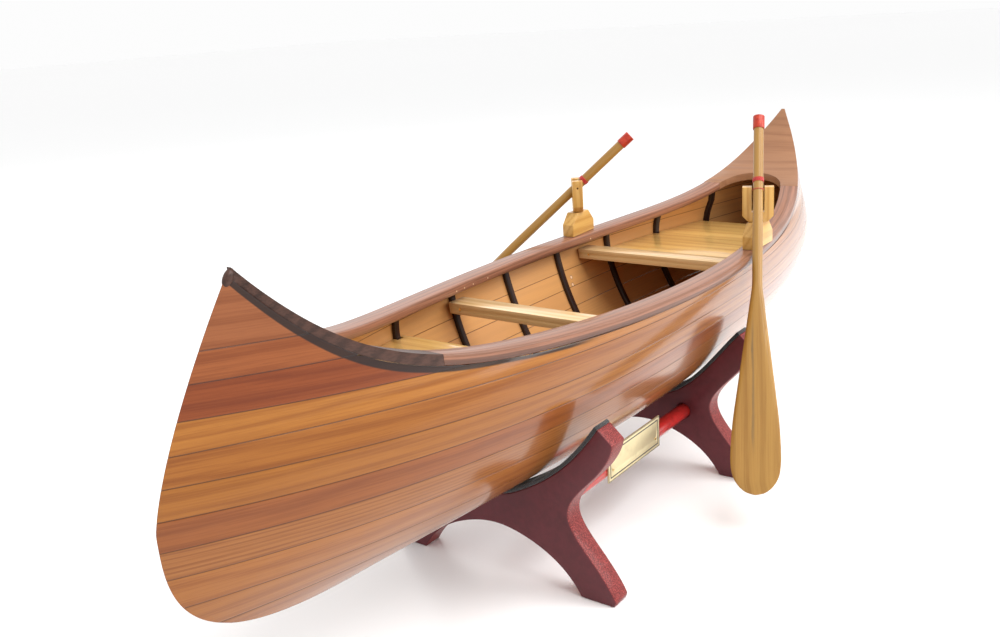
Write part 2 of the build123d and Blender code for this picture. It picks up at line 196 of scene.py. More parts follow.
def wrap_rings(bm, rings):
    """Add a closed skin over rings of (point in mm, grain uv, rim uv) to a bmesh.

    Each ring is a closed loop and the first and last are capped.
    """
    grain = bm.loops.layers.uv.get("grain") or bm.loops.layers.uv.new("grain")
    rim = bm.loops.layers.uv.get("rim") or bm.loops.layers.uv.new("rim")
    before = set(bm.verts)
    made = bmesh.ops.create_grid(bm, x_segments=len(rings) - 1,
                                 y_segments=len(rings[0]), size=0.5)["verts"]
    place = {}
    for vert in made:
        along = round((vert.co.x + 0.5) * (len(rings) - 1))
        around = round((vert.co.y + 0.5) * len(rings[0]))
        place[vert] = rings[along][around % len(rings[0])]
    faces = {face for vert in made for face in vert.link_faces}
    for face in faces:
        for loop in face.loops:
            _, loop[grain].uv, loop[rim].uv = place[loop.vert]
    for vert in made:
        vert.co = Vector(place[vert][0]) * MM
    bmesh.ops.remove_doubles(bm, verts=made, dist=2e-7)
    fresh = [v for v in bm.verts if v not in before]
    edges = [e for e in {e for v in fresh for e in v.link_edges} if e.is_boundary]
    caps = bmesh.ops.holes_fill(bm, edges=edges, sides=0)["faces"]
    bmesh.ops.triangulate(bm, faces=caps)
    fresh = [v for v in bm.verts if v not in before]
    bmesh.ops.recalc_face_normals(bm, faces=list({f for v in fresh for f in v.link_faces}))


def rounded_node(node, width, segments=2, sharp=30):
    """A bmesh copy of a CAD node with its crisp edges rounded over."""
    bm = bmesh.new()
    bm.from_mesh(frame["nodes"][node].data)
    bmesh.ops.remove_doubles(bm, verts=bm.verts, dist=2e-6)
    bmesh.ops.dissolve_limit(bm, angle_limit=radians(0.5), verts=bm.verts, edges=bm.edges)
    crisp = [e for e in bm.edges if e.is_manifold and e.calc_face_angle(0) > radians(sharp)]
    bmesh.ops.bevel(bm, geom=crisp, offset=width * MM, segments=segments, profile=0.5,
                    affect="EDGES", material=-1, clamp_overlap=True)
    bmesh.ops.triangulate(bm, faces=[f for f in bm.faces if len(f.verts) > 4])
    return bm


def dress_node(node, body, finish, width=0.5, segments=2):
    """Replace a CAD node by its copy with rounded edges and a finish."""
    return finish_mesh(rounded_node(node, width, segments), f"{node}_shaped", body, finish,
                       [node])


# ---- shader helpers --------------------------------------------------------


class Signal:
    """A shader value that takes part in plain arithmetic."""

    def __init__(self, paint, socket):
        self.paint, self.socket = paint, socket

    def maths(self, operation, *values):
        return self.paint.node("ShaderNodeMath", dict(operation=operation),
                               dict(enumerate(values)), 0)

    def __add__(self, other):
        return self.maths("ADD", self, other)

    def __sub__(self, other):
        return self.maths("SUBTRACT", self, other)

    def __rsub__(self, other):
        return self.maths("SUBTRACT", other, self)

    def __mul__(self, other):
        return self.maths("MULTIPLY", self, other)

    def __pow__(self, other):
        return self.maths("POWER", self, other)

    __radd__, __rmul__ = __add__, __mul__

    def least(self, other):
        return self.maths("MINIMUM", self, other)

    def most(self, other):
        return self.maths("MAXIMUM", self, other)

    def size(self):
        return self.maths("ABSOLUTE", self)

    def wave(self):
        return self.maths("SINE", self)

    def step(self, low, high):
        """0 below low, 1 above high, smooth between."""
        return self.paint.node("ShaderNodeMapRange", dict(interpolation_type="SMOOTHSTEP"),
                               {0: self, 1: low, 2: high}, 0)


class Paint:
    """One material: nodes go in through node(), the surface is set at the end."""

    def __init__(self, name):
        self.material = bpy.data.materials.new(name)
        self.material.use_nodes = True
        self.tree = self.material.node_tree
        self.surface = self.tree.nodes["Principled BSDF"]

    def node(self, kind, settings=None, values=None, out=None):
        """Add a node, set it up, feed its sockets, and return an output."""
        made = self.tree.nodes.new(kind)
        for key, value in (settings or {}).items():
            if key == "stops":
                ramp = made.color_ramp
                while len(ramp.elements) < len(value):
                    ramp.elements.new(1)
                for stop, (place, colour) in zip(ramp.elements, value):
                    stop.position, stop.color = place, (*colour, 1)
            else:
                setattr(made, key, value)
        for key, value in (values or {}).items():
            self.feed(made.inputs[key], value)
        return made if out is None else Signal(self, made.outputs[out])

    def feed(self, socket, value):
        if isinstance(value, Signal):
            self.tree.links.new(value.socket, socket)
        else:
            socket.default_value = value

    def place(self, source="Object", scale=(1, 1, 1), turn=(0, 0, 0), shift=(0, 0, 0)):
        """Coordinates: Object space, or the piece's own grain map, scaled and turned."""
        if source == "Object":
            start = self.node("ShaderNodeTexCoord", out="Object")
        else:
            start = self.node("ShaderNodeUVMap", dict(uv_map=source), out="UV")
        turned = self.node("ShaderNodeMapping", dict(vector_type="POINT"),
                           {"Vector": start, "Rotation": turn, "Location": shift}, 0)
        return self.node("ShaderNodeMapping", dict(vector_type="POINT"),
                         {"Vector": turned, "Scale": scale}, 0)

    def noise(self, at, scale=1.0, detail=3.0, rough=0.5, distort=0.0):
        return self.node("ShaderNodeTexNoise", None,
                         {"Vector": at, "Scale": scale, "Detail": detail,
                          "Roughness": rough, "Distortion": distort}, "Fac")

    def mix(self, factor, a, b, blend="MIX"):
        """Colour mix; a and b are colours or signals."""
        made = self.node("ShaderNodeMix", dict(data_type="RGBA", blend_type=blend))
        self.feed(made.inputs[0], factor)
        for socket, value in ((made.inputs[6], a), (made.inputs[7], b)):
            self.feed(socket, value if isinstance(value, Signal) else (*value, 1))
        return Signal(self, made.outputs[2])

    def split(self, vector):
        made = self.node("ShaderNodeSeparateXYZ", None, {0: vector})
        return [Signal(self, made.outputs[k]) for k in range(3)]

    def bump(self, height, distance, strength=1.0):
        return self.node("ShaderNodeBump", None,
                         {"Height": height, "Distance": distance, "Strength": strength},
                         "Normal")

    def finish(self, **sockets):
        """Feed the Principled surface, socket names written with underscores."""
        for key, value in sockets.items():
            if isinstance(value, tuple) and len(value) == 3:
                value = (*value, 1)
            self.feed(self.surface.inputs[key.replace("_", " ")], value)
        return self.material


def lower_strip(paint, colour):
    """Darken the lower half of a rail's outer edge."""
    edge, drop, _ = paint.split(paint.place("rim"))
    strip = drop.step(0.0021, 0.0027) * (1 - edge.step(0.002, 0.003))
    return paint.mix(strip * 0.6, colour, (0.060, 0.026, 0.020))


def tack_heads(points, radius):
    """A finishing step that shows round brass tack heads at points given in millimetres."""
    def show(paint, colour):
        at = paint.place()
        for point in points:
            away = paint.node("ShaderNodeVectorMath", dict(operation="DISTANCE"),
                              {0: at, 1: tuple(c * MM for c in point)}, "Value")
            ring = away.step(radius * 0.75 * MM, radius * MM) * (1 - away.step(
                radius * MM, radius * 1.3 * MM))
            colour = paint.mix(1 - away.step(radius * 0.85 * MM, radius * MM), colour,
                               (0.80, 0.54, 0.34))
            colour = paint.mix(ring * 0.7, colour, (0.10, 0.04, 0.02))
        return colour
    return show


def blade_streak(paint, colour):
    """A long grey mineral streak down the middle of a blade."""
    x, y, _ = paint.split(paint.place("grain"))
    waver = paint.noise(paint.place("grain", (60, 400, 1)), 1.0, 3, 0.6)
    offset = (y + 0.0012 - waver * 0.0016).size()
    length = x.step(0.070, 0.090) * (1 - x.step(0.135, 0.155))
    return paint.mix((1 - offset.step(0.0001, 0.0011)) * length * waver, colour,
                     (0.105, 0.085, 0.050))


def wood(name, light, dark, source="Object", turn=(0, 0, 0), ring=900.0, figure=1.0,
         streak=0.5, rough=0.35, coat=0.0, coat_rough=0.08, coat_ior=1.4, bump=0.00003, seam=False,
         blotch=0.35, shift=(0, 0, 0), detail=None):
    """Varnished or bare wood, its grain running along X of its coordinates.

    ring is radians of growth rings per metre across, figure how much they wander. seam adds
    the glue lines, the inner face of a plank (paler, partly painted light) and a painted shadow
    under the bow deck; detail is a last step on the colour.
    """
    paint = Paint(name)
    at = paint.place(source, (1, 1, 1), turn, shift)
    slow = paint.node("ShaderNodeMapping", dict(vector_type="POINT"),
                      {"Vector": at, "Scale": (5, 45, 45)}, 0)
    fine = paint.node("ShaderNodeMapping", dict(vector_type="POINT"),
                      {"Vector": at, "Scale": (28, 1300, 1300)}, 0)
    pores = paint.node("ShaderNodeMapping", dict(vector_type="POINT"),
                       {"Vector": at, "Scale": (150, 4200, 4200)}, 0)
    x, y, z = paint.split(at)
    wander = paint.noise(slow, 1.0, 3, 0.55)
    across = y + z * 0.6
    rings = ((across * ring + wander * (14 * figure)).wave() * 0.5 + 0.5) ** 1.6
    streaks = paint.noise(fine, 1.0, 3, 0.6)
    flecks = paint.noise(pores, 1.0, 2, 0.5).step(0.62, 0.78)
    patches = paint.noise(slow, 0.5, 2, 0.5).step(0.3, 0.7)
    depth = rings * 0.45 + streaks.step(0.3, 0.72) * streak
    colour = paint.mix((1 - depth).step(0.1, 1.0), dark, light)
    tone = tuple(c * 0.78 for c in light)
    colour = paint.mix(patches * blotch, colour, tone)
    colour = paint.mix(flecks * 0.3, colour, tuple(c * 0.45 for c in dark))
    height = streaks * 0.5 - flecks * 0.5
    if seam:
        edge, below, _ = paint.split(paint.place("rim"))
        # inner faces: paler bare cedar, partly painted light that brightens the shaded interior
        inside_pale_and_lit = x.step(INNER_SHIFT / 2 - 0.01, INNER_SHIFT / 2 + 0.01)
        colour = paint.mix(inside_pale_and_lit * 0.5, colour, (0.92, 0.51, 0.20))
        line = 1 - edge.step(0.00008, 0.00034)
        colour = paint.mix(line * 0.72, colour, tuple(c * 0.3 for c in dark))
        # near-black strip on the planks just below the sheer at the bow: the dark gap under the
        # deck's edge, widened into painted shadow beneath the deck
        deep = (1 - x.step(-0.235, -0.150)) * 0.0024 + wander * 0.0008
        strip = (1 - (below - deep).step(0.0007, 0.0015)) * (1 - x.step(-0.125, -0.100))
        colour = paint.mix(strip * 0.93, colour, (0.012, 0.007, 0.006))
    if detail:
        colour = detail(paint, colour)
    settings = dict(Base_Color=colour, Normal=paint.bump(height, bump),
                    Roughness=streaks * 0.12 + rough)
    if coat:
        settings.update(Coat_Weight=coat, Coat_Roughness=coat_rough, Coat_IOR=coat_ior,
                        Specular_IOR_Level=0.2)
    return paint.finish(**settings)


def stain(name, light, dark, rough, coat, speckle, grit, sawn=False):
    """Opaque stain over wood: faint grain, mottled, rougher where speckle is high."""
    paint = Paint(name)
    at = paint.place("Object", (1, 1, 1))
    grain = paint.noise(paint.place("Object", (900, 60, 60)), 1.0, 3, 0.6)
    mottle = paint.noise(at, 260.0, 4, 0.65)
    cloud = paint.noise(at, 30.0, 3, 0.5)
    colour = paint.mix((mottle * speckle + cloud * 0.5).step(0.25, 0.85), dark, light)
    colour = paint.mix(grain.step(0.55, 0.8) * 0.35, colour, tuple(c * 0.5 for c in dark))
    grains = paint.noise(at, 2000.0, 4, 0.65)
    height = grains * grit + mottle * grit
    if sawn:
        facing, _, _ = paint.split(paint.node("ShaderNodeTexCoord", out="Normal"))
        edge = 1 - facing.size().step(0.35, 0.8)
        speck = paint.mix(grains.step(0.42, 0.62), (0.10, 0.008, 0.008), (0.34, 0.048, 0.042))
        colour = paint.mix(edge, colour, speck)
    return paint.finish(Base_Color=colour, Normal=paint.bump(height, 0.00006),
                        Roughness=mottle * 0.2 + rough, Coat_Weight=coat, Coat_Roughness=0.16,
                        Specular_IOR_Level=0.25)


def felt_finish():
    """Matted black felt, slightly dusty."""
    paint = Paint("black_felt")
    at = paint.place("Object")
    fibre = paint.noise(at, 2600.0, 4, 0.7, 1.2)
    lumps = paint.noise(at, 420.0, 3, 0.6)
    colour = paint.mix((fibre * 0.7 + lumps * 0.3).step(0.4, 0.8), (0.006, 0.006, 0.007),
                       (0.045, 0.043, 0.042))
    return paint.finish(Base_Color=colour, Roughness=0.95, Sheen_Weight=0.35,
                        Normal=paint.bump(fibre + lumps, 0.00035))


def brass(name, colour):
    """Start a brass material: its paint, tarnished tint, brushing and tarnish."""
    paint = Paint(name)
    brushed = paint.noise(paint.place("Object", (60, 60, 5200)), 1.0, 3, 0.6)
    tarnish = paint.noise(paint.place("Object"), 140.0, 4, 0.6).step(0.45, 0.8)
    tint = paint.mix(tarnish * 0.4, colour, tuple(c * 0.62 for c in colour))
    return paint, tint, brushed, tarnish


def plate_finish(low, high):
    """The blank nameplate: pale brass with a printed double border."""
    paint, tint, brushed, tarnish = brass("nameplate_brass", (0.76, 0.66, 0.40))
    x, _, z = paint.split(paint.place("Object"))
    inset = (x - low.x).least(high.x - x).least((z - low.z).least(high.z - z))
    outer = inset.step(0.00012, 0.00020) * (1 - inset.step(0.00055, 0.00063))
    inner = inset.step(0.00175, 0.00185) * (1 - inset.step(0.0025, 0.0026))
    ink = outer.most(inner)
    colour = paint.mix(ink, tint, (0.03, 0.028, 0.02))
    return paint.finish(Base_Color=colour, Metallic=0.85 - ink * 0.85,
                        Roughness=brushed * 0.15 + tarnish * 0.15 + 0.3,
                        Normal=paint.bump(brushed * 0.3 + ink * 0.6, 0.00002))


def pin_finish():
    """Small polished brass pins."""
    paint, tint, _, tarnish = brass("pin_brass", (0.80, 0.58, 0.30))
    return paint.finish(Base_Color=tint, Metallic=1.0, Roughness=tarnish * 0.2 + 0.22)


def gloss_red():
    """Red paint on the grips, a little uneven as brushed on by hand."""
    paint = Paint("grip_red_paint")
    sag = paint.noise(paint.place("Object"), 380.0, 3, 0.5)
    colour = paint.mix(sag.step(0.3, 0.75), (0.34, 0.018, 0.007), (0.52, 0.045, 0.014))
    return paint.finish(Base_Color=colour, Roughness=sag * 0.15 + 0.34, Coat_Weight=0.3,
                        Coat_Roughness=0.12, Specular_IOR_Level=0.25,
                        Normal=paint.bump(sag, 0.00012))


def thread_finish():
    """Twisted red thread."""
    paint = Paint("red_thread")
    twist = paint.noise(paint.place("grain", (2600, 900, 1)), 1.0, 2, 0.5)
    colour = paint.mix(twist.step(0.3, 0.7), (0.36, 0.010, 0.008), (0.62, 0.035, 0.022))
    return paint.finish(Base_Color=colour, Roughness=0.7, Sheen_Weight=0.3,
                        Normal=paint.bump(twist, 0.00006))


# ---- properties ------------------------------------------------------------


def colour_property(name, description, default):
    return FloatVectorProperty(name=name, description=description, default=default,
                               subtype="COLOR", min=0, max=1)


class CANOE_PG_sizes(bpy.types.PropertyGroup):
    """Sizes of what is drawn finer than its CAD solid."""

    plank_thickness: FloatProperty(
        name="Plank thickness", description="Thickness of the cedar strips", default=2.4 * MM,
        unit="LENGTH")
    seam_gap: FloatProperty(
        name="Seam gap", description="Open width of the glue line between planks",
        default=0.05 * MM, unit="LENGTH")
    seam_round: FloatProperty(
        name="Seam rounding", description="How far a plank's edges are eased",
        default=0.08 * MM, unit="LENGTH")
    rib_width: FloatProperty(
        name="Rib width", description="Width of a bent rib", default=4 * MM, unit="LENGTH")
    rib_thickness: FloatProperty(
        name="Rib thickness", description="Thickness of a bent rib", default=2.4 * MM,
        unit="LENGTH")
    rib_count: IntProperty(
        name="Ribs", description="Number of ribs along the canoe", default=8, min=1)
    loom_radius: FloatProperty(
        name="Loom radius", description="Radius of an oar's shaft", default=2.85 * MM,
        unit="LENGTH")
    blade_half_width: FloatProperty(
        name="Blade half width", description="Half the widest part of a blade",
        default=13.1 * MM, unit="LENGTH")
    thread_radius: FloatProperty(
        name="Thread radius", description="Radius of the lashing thread", default=0.2 * MM,
        unit="LENGTH")
    edge_round: FloatProperty(
        name="Edge rounding", description="Rounding of sawn and sanded edges",
        default=0.45 * MM, unit="LENGTH")


class CANOE_PG_colours(bpy.types.PropertyGroup):
    """Colours of the finishes."""

    cedar: colour_property("Cedar", "Golden cedar planks", (0.345, 0.122, 0.021))
    cedar_red: colour_property("Red cedar", "Darker planks near the rail", (0.275, 0.077, 0.019))
    mahogany: colour_property("Mahogany", "Bent rails", (0.34, 0.150, 0.088))
    walnut: colour_property("Walnut", "Bow deck", (0.085, 0.038, 0.026))
    pine: colour_property("Pine", "Oars, thwarts and oarlocks", (0.68, 0.40, 0.115))
    rib: colour_property("Rib", "Dark bent ribs", (0.040, 0.016, 0.011))
    stand: colour_property("Stand", "Stained cradle boards", (0.130, 0.022, 0.029))


# ---- operators -------------------------------------------------------------


class PieceOperator:
    """What every canoe operator shares."""

    bl_options = {"REGISTER", "UNDO"}

    @property
    def sizes(self):
        return bpy.context.scene.canoe_sizes

    @property
    def colours(self):
        return bpy.context.scene.canoe_colours


def plank_finish(row, side, cedar, red):
    """Finish of one row of planking; the upper rows are darker."""
    # For each row: the wood, its tint, and its growth rings.
    looks = (
        (red, (1.02, 1.15, 1.5), 800), (red, (1.0, 1.0, 1.0), 700), (red, (0.8, 0.62, 0.45), 1000),
        (cedar, (1.1, 1.15, 1.0), 1500), (cedar, (0.93, 0.9, 0.75), 900),
        (cedar, (0.98, 0.97, 0.72), 1150), (cedar, (0.8, 0.65, 0.62), 700),
        (cedar, (0.96, 0.98, 1.2), 3300), (cedar, (1.03, 1.02, 1.05), 800),
        (cedar, (1.0, 1.0, 1.0), 1000), (cedar, (0.95, 0.95, 1.0), 900),
    )
    base, tint, ring = looks[row]
    light = tuple(a * b for a, b in zip(base, tint))
    dark = (light[0] * 0.66, light[1] * 0.54, light[2] * 0.42)
    tacks = None
    if side == "starboard" and row == 5:
        tacks = tack_heads([(x, hull.half(x, level) - 2.6, hull.rail_height + level)
                            for x, level in ((50.6, -25.0), (49.6, -29.4))], 1.15)
    return wood(f"{side}_cedar_row_{row + 1}", light, dark, source="grain", ring=ring,
                figure=0.55 if row == 7 else 1.0, streak=0.5, rough=0.3, coat=0.9,
                coat_rough=0.14, coat_ior=1.33, bump=0.00002, seam=True, shift=(0, 0.37 * row, 0),
                detail=tacks)


class CANOE_OT_planking(PieceOperator, bpy.types.Operator):
    """Build the smooth planking: one piece for each row and side, seam by seam"""

    bl_idname = "canoe.planking"
    bl_label = "Planking"

    def column(self, row, s, side, eased):
        """Closed ring round a plank at one place along it."""
        sizes = self.sizes
        thick = sizes.plank_thickness / MM
        cut = hull.under_rail(row, s, hull.plank_drop)
        gap = sizes.seam_gap / MM / 2
        (xa, za), (xb, zb) = hull.skin_point(row, s, cut), hull.skin_point(row, s, 1)
        height = hypot(zb - za, hull.half(xb, zb) - hull.half(xa, za)) + 1e-6
        rim = [0, 0.18, 0.4, 0.7, 1.4]
        rim = [r * min(1, height / 6) for r in rim]
        steps = 7 if row + 1 < len(hull.seams) else 12
        middle = even(rim[-1], height - rim[-1], steps)[1:-1]
        distances = rim + middle + [height - r for r in reversed(rim)]
        outer, inner = [], []
        last = row + 1 == len(hull.seams)
        for d in distances:
            fade = max(height - 2 * gap, 0) / height
            share = cut + (1 - cut) * ((d * fade + gap) / height if not last
                                       else min((d * fade + gap) / height, 1))
            x, level = hull.skin_point(row, s, min(share, 1))
            normal = hull.normal(x, level)
            near = min(d, height - d)
            ease_by = eased * max(0, 1 - near / 0.4) ** 2 if not (last and d > height / 2) else 0
            y = hull.half(x, level)
            at = Vector((x, y, hull.rail_height + level))
            face = at - normal * ease_by
            back = at - normal * thick
            face.y, back.y = max(face.y, 0.03), max(back.y, 0.03)
            edge = near if not (last and d > height / 2) else 4.0
            along = x * MM
            across = (d if last else height - d) * MM
            below = (hull.sheer(x) - hull.plank_drop - level) * MM
            outer.append((face, (along, across), (edge * MM, below)))
            inner.append((back, (along + INNER_SHIFT, across), (edge * MM, 1)))
        ring = outer + inner[::-1]
        return [(Vector((p.x, side * p.y, p.z)), uv, edge) for p, uv, edge in ring]

    def spans(self, row):
        """Stretches of a row that lie below the sheer, as pairs of s."""
        def open_at(s):
            return hull.under_rail(row, s, hull.plank_drop) < 1
        if open_at(0):
            return [(-1, 1)]
        low, high = 0.0, 1.0
        for _ in range(40):
            middle = (low + high) / 2
            low, high = (low, middle) if open_at(middle) else (middle, high)
        return [(-1, -high - 1e-5), (high + 1e-5, 1)]

    def execute(self, context):
        colours = self.colours
        eased = self.sizes.seam_round / MM
        for name, side in SIDES:
            for row in range(len(hull.seams)):
                bm = bmesh.new()
                for start, end in self.spans(row):
                    count = 150 if (start, end) == (-1, 1) else 60
                    turn = [sin(pi / 2 * t) for t in even(-1, 1, count)]
                    places = [start + (end - start) * (t + 1) / 2 for t in turn]
                    wrap_rings(bm, [self.column(row, s, side, eased) for s in places])
                finish = plank_finish(row, name, colours.cedar, colours.cedar_red)
                node = f"{name}_plank_{row + 1:02d}"
                finish_mesh(bm, f"{node}_strip", "hull", finish, [node],
                            sharp=40)
        return {"FINISHED"}


class CANOE_OT_ribs(PieceOperator, bpy.types.Operator):
    """Build the bent ribs that lie against the planking"""

    bl_idname = "canoe.ribs"
    bl_label = "Ribs"

    def section(self, x, inset, count):
        """(y, level) points inside the hull at a station, port rail to starboard rail."""
        top, keel = hull.sheer(x) - 5.2, hull.keel_level(x)
        def skin(t):
            level = keel + (top - keel) * abs(t) ** 2.0
            return Vector((hull.half(x, level) * (1 if t > 0 else -1), level))
        line = []
        for t in even(-1, 1, count):
            step = 0.004
            run = skin(min(t + step, 1)) - skin(max(t - step, -1))
            across = Vector((-run.y, run.x)).normalized()
            base = skin(t)
            if abs(t) < 1e-9:
                base.x = 0
            line.append(base + across * inset)
        return line

    def execute(self, context):
        sizes = self.sizes
        half, thick = sizes.rib_width / MM / 2, sizes.rib_thickness / MM
        skin_depth = sizes.plank_thickness / MM + 0.15
        finish = wood("dark_rib_wood", tuple(self.colours.rib), (0.012, 0.005, 0.004),
                      source="grain", ring=1200, rough=0.34, coat=0.5, coat_rough=0.2,
                      bump=0.00004)
        for number in range(sizes.rib_count):
            station = FIRST_RIB + RIB_SPACING * number
            sides = {}
            for x in (-half, -half + 0.6, half - 0.6, half):
                for deep in (0, thick - 0.5, thick):
                    sides[x, deep] = self.section(station + x, skin_depth + deep, 81)
            bm = bmesh.new()
            rings = []
            corners = ((-half, 0), (half, 0), (half, thick - 0.5), (half - 0.6, thick),
                       (-half + 0.6, thick), (-half, thick - 0.5))
            for k in range(81):
                ring = []
                for x, deep in corners:
                    y, level = sides[x, deep][k]
                    ring.append(((station + x, y, hull.rail_height + level),
                                 (k * 0.0025, (x + deep) * MM), (0, 0)))
                rings.append(ring)
            wrap_rings(bm, rings)
            node = f"rib_{number + 1}"
            finish_mesh(bm, f"{node}_bent", "hull", finish, [node])
        return {"FINISHED"}


class CANOE_OT_rails(PieceOperator, bpy.types.Operator):
    """Build the bent rails and give the two decks rounded edges"""

    bl_idname = "canoe.rails"
    bl_label = "Rails and decks"

    def add_nose(self, deck):
        """Join a small rounded nose to the deck's tip, lying down the stem."""
        low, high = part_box("bow_deck")
        level = hull.tip_rise - 4
        rake = atan2(hull.stem_reach(level) - hull.tip_half_length, 4)
        place = Vector((low.x - 0.9 * MM, 0, high.z - 3.8 * MM))
        size = Vector((2.0, 1.9, 3.8)) * MM
        bm = bmesh.new()
        bmesh.ops.create_icosphere(
            bm, subdivisions=4, radius=1,
            matrix=Matrix.LocRotScale(place, Matrix.Rotation(rake, 3, "Y").to_quaternion(), size))
        mesh = bpy.data.meshes.new("nose")
        bm.to_mesh(mesh)
        bm.free()
        nose = bpy.data.objects.new("nose", mesh)
        bpy.context.scene.collection.objects.link(nose)
        join = deck.modifiers.new("nose", "BOOLEAN")
        join.operation, join.solver, join.object = "UNION", "EXACT", nose
        shaped = bpy.data.meshes.new_from_object(
            deck.evaluated_get(bpy.context.evaluated_depsgraph_get()))
        deck.modifiers.clear()
        bpy.data.objects.remove(nose)
        shaped.shade_smooth()
        shaped.set_sharp_from_angle(angle=radians(35))
        deck.data = shaped

    def execute(self, context):
        colours = self.colours
        front, rear = (sum(corner.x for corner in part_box(node)) / 2 / MM
                       for node in ("front_thwart", "rear_thwart"))
        nails = []
        for x in (front - 6, front + 2, front + 11, front + 26, rear - 3):
            inner = hull.half(x, hull.sheer(x)) + hull.rail_overhang - hull.rail_width
            nails.append((x, inner, hull.rail_height + hull.sheer(x) - 3.3))
        heads = tack_heads(nails, 0.55)
        mahogany = wood("mahogany", tuple(colours.mahogany),
                        tuple(c * 0.55 for c in colours.mahogany), source="grain", ring=1500,
                        streak=0.6, rough=0.36, coat=0.5, coat_rough=0.16, bump=0.00004,
                        detail=lambda paint, colour: heads(paint, lower_strip(paint, colour)))
        wide, thick = hull.rail_width, hull.rail_thickness
        section = ((0.5, thick), (0, thick - 0.5), (0, 0.8), (0.25, 0.25), (0.8, 0), (6.2, 0),
                   (wide - 0.8, 0), (wide - 0.25, 0.25), (wide, 0.8), (wide, thick - 0.5),
                   (wide - 0.5, thick))
        for name, side in SIDES:
            node = f"{name}_rail"
            low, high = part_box(node)
            rings = []
            for x in even(low.x / MM, high.x / MM, 140):
                outer = max(hull.half(x, hull.sheer(x)) + hull.rail_overhang, 1.2)
                top = hull.rail_height + hull.sheer(x)
                ring = []
                for edge, drop in section:
                    ring.append(((x, side * (outer - edge), top - drop),
                                 (x * MM, (edge + drop) * MM), (edge * MM, drop * MM)))
                rings.append(ring)
            bm = bmesh.new()
            wrap_rings(bm, rings)
            finish_mesh(bm, f"{node}_bent", "hull", mahogany, [node], 50)
        walnut = wood("walnut", tuple(colours.walnut), tuple(c * 0.4 for c in colours.walnut),
                      ring=1300, rough=0.4, coat=0.35, coat_rough=0.25, bump=0.00006)
        brown = wood("deck_brown_wood", (0.33, 0.158, 0.078), (0.25, 0.110, 0.052),
                     turn=(0, 0, radians(90)), ring=420, figure=1.6, streak=0.35, rough=0.36,
                     coat=0.5,
                     coat_rough=0.16, bump=0.00004)
        self.add_nose(dress_node("bow_deck", "hull", walnut, 0.8, 3))
        dress_node("stern_deck", "hull", brown, 0.7, 3)
        return {"FINISHED"}


class CANOE_OT_fittings(PieceOperator, bpy.types.Operator):
    """Finish the thwarts, platforms, oarlocks and pins"""

    bl_idname = "canoe.fittings"
    bl_label = "Thwarts, platforms and oarlocks"

    def execute(self, context):
        pine = tuple(self.colours.pine)
        shade = (pine[0] * 0.72, pine[1] * 0.58, pine[2] * 0.42)
        across = wood("thwart_pine", (0.74, 0.50, 0.25), (0.54, 0.32, 0.12),
                      turn=(0, 0, radians(90)), ring=1300, streak=0.35, rough=0.3, coat=0.7,
                      coat_rough=0.1, bump=0.00003)
        tan_wood = wood("platform_wood", (0.70, 0.42, 0.13), (0.48, 0.25, 0.065),
                        turn=(0, 0, radians(90)), ring=700, figure=1.3, streak=0.4, rough=0.28,
                        coat=0.8, coat_rough=0.08, bump=0.00003)
        block_wood = wood("oarlock_pine", pine, shade, ring=1500, streak=0.35, rough=0.34,
                          coat=0.5, coat_rough=0.14, bump=0.00003)
        for node in ("front_thwart", "rear_thwart"):
            dress_node(node, "hull", across, 0.4)
        for node in ("bow_platform", "stern_platform"):
            dress_node(node, "hull", tan_wood, 0.25)
        for name, _ in SIDES:
            dress_node(f"{name}_oarlock_block", "hull", block_wood, 0.45, 3)
            upright = wood(f"{name}_fork_pine", pine, shade, turn=(0, radians(90), 0),
                           ring=1500, streak=0.35, rough=0.34, coat=0.5, coat_rough=0.14,
                           bump=0.00003)
            dress_node(f"{name}_oarlock_fork", f"{name}_fork", upright, 0.45, 3)
        frame["nodes"]["thwart_pins"].data.materials.clear()
        frame["nodes"]["thwart_pins"].data.materials.append(pin_finish())
        return {"FINISHED"}


